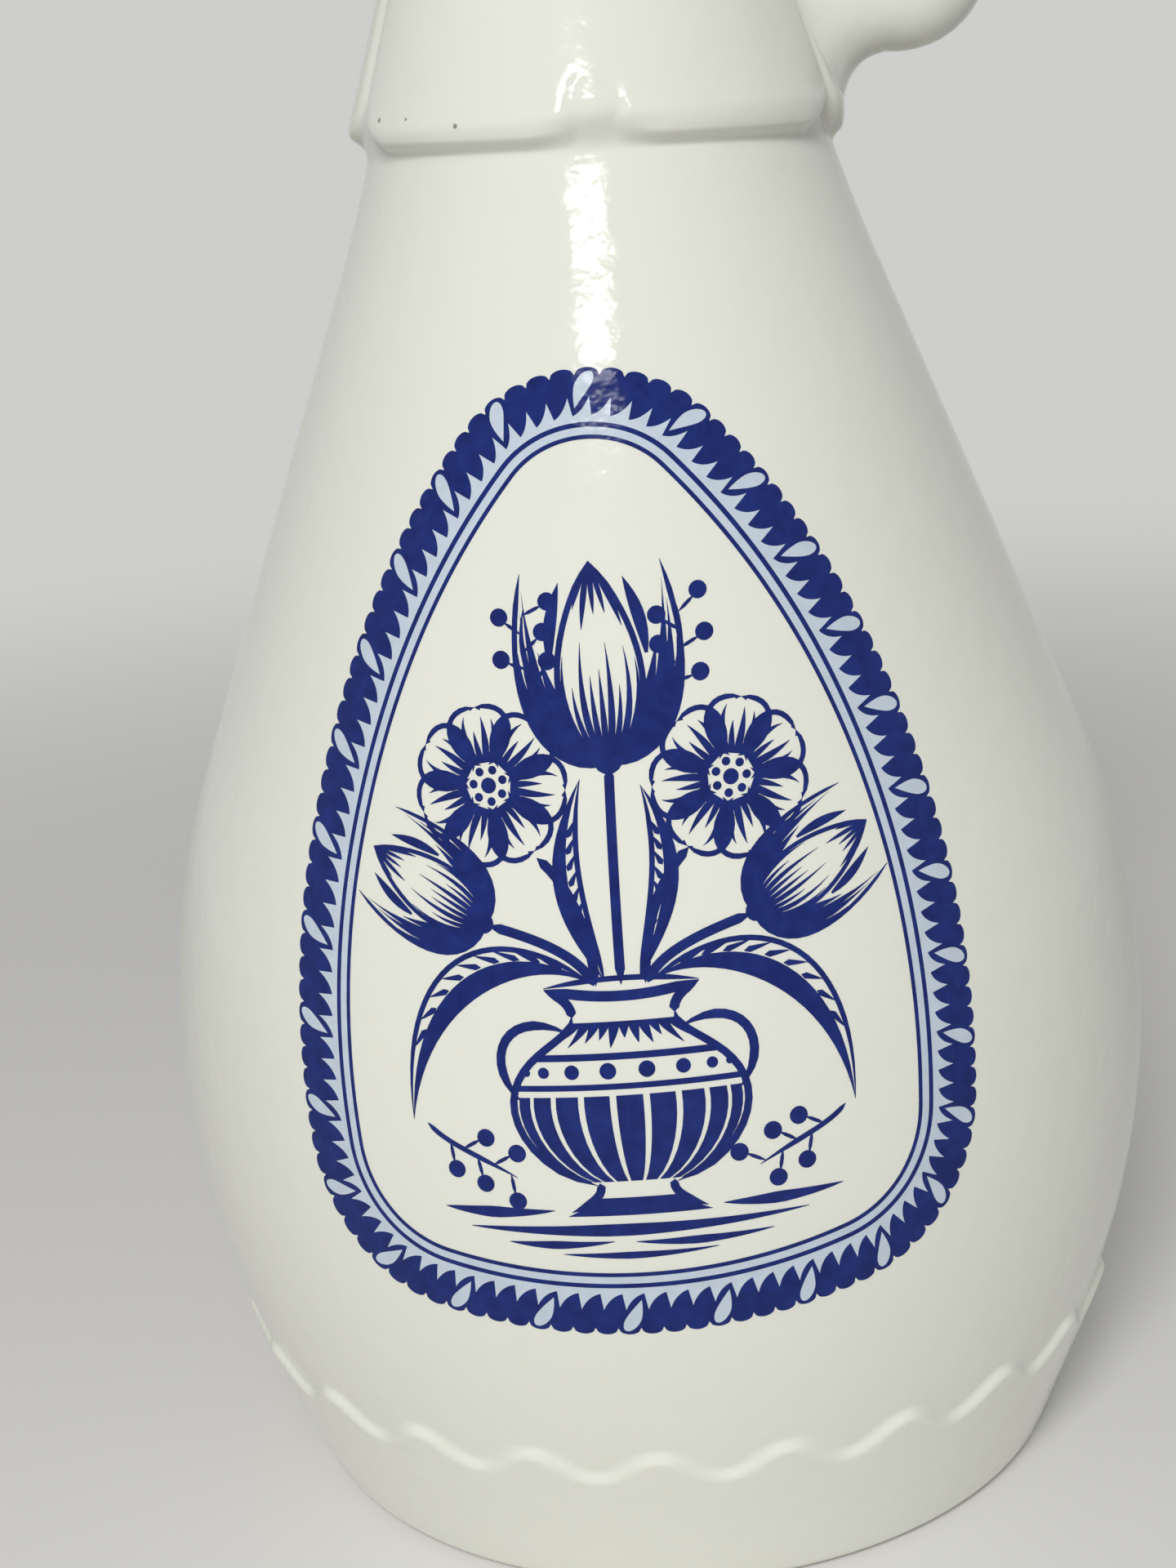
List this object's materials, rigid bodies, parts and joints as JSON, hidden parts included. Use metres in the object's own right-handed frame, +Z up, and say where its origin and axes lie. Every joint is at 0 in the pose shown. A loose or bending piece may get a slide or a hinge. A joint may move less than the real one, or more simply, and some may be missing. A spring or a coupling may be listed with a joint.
{
  "type": "handled liqueur bottle with corked stopper",
  "caption": "Pear-shaped glazed bottle on a scalloped foot, with a lobed neck sleeve, an ear handle and a lift-out stopper with a cork.",
  "frame": {"origin": "centre of the foot, on the surface that the bottle stands on", "axes": "+Z up along the bottle's axis, the handle on +X, the decorated front facing -Y"},
  "size_m": [0.105, 0.105, 0.2368],
  "materials": {
    "glazed_ware": "glossy warm white glaze",
    "cork": "bare cork"
  },
  "bodies": {
    "bottle": {"bottle": "glazed_ware", "handle": "glazed_ware"},
    "stopper": {"stopper_head": "glazed_ware", "stopper_cork": "cork"}
  },
  "joints": [
    {"name": "stopper_lift", "type": "slide", "parent": "bottle", "child": "stopper", "axis": [0, 0, 1], "range_m": [0, 0.06]}
  ]
}
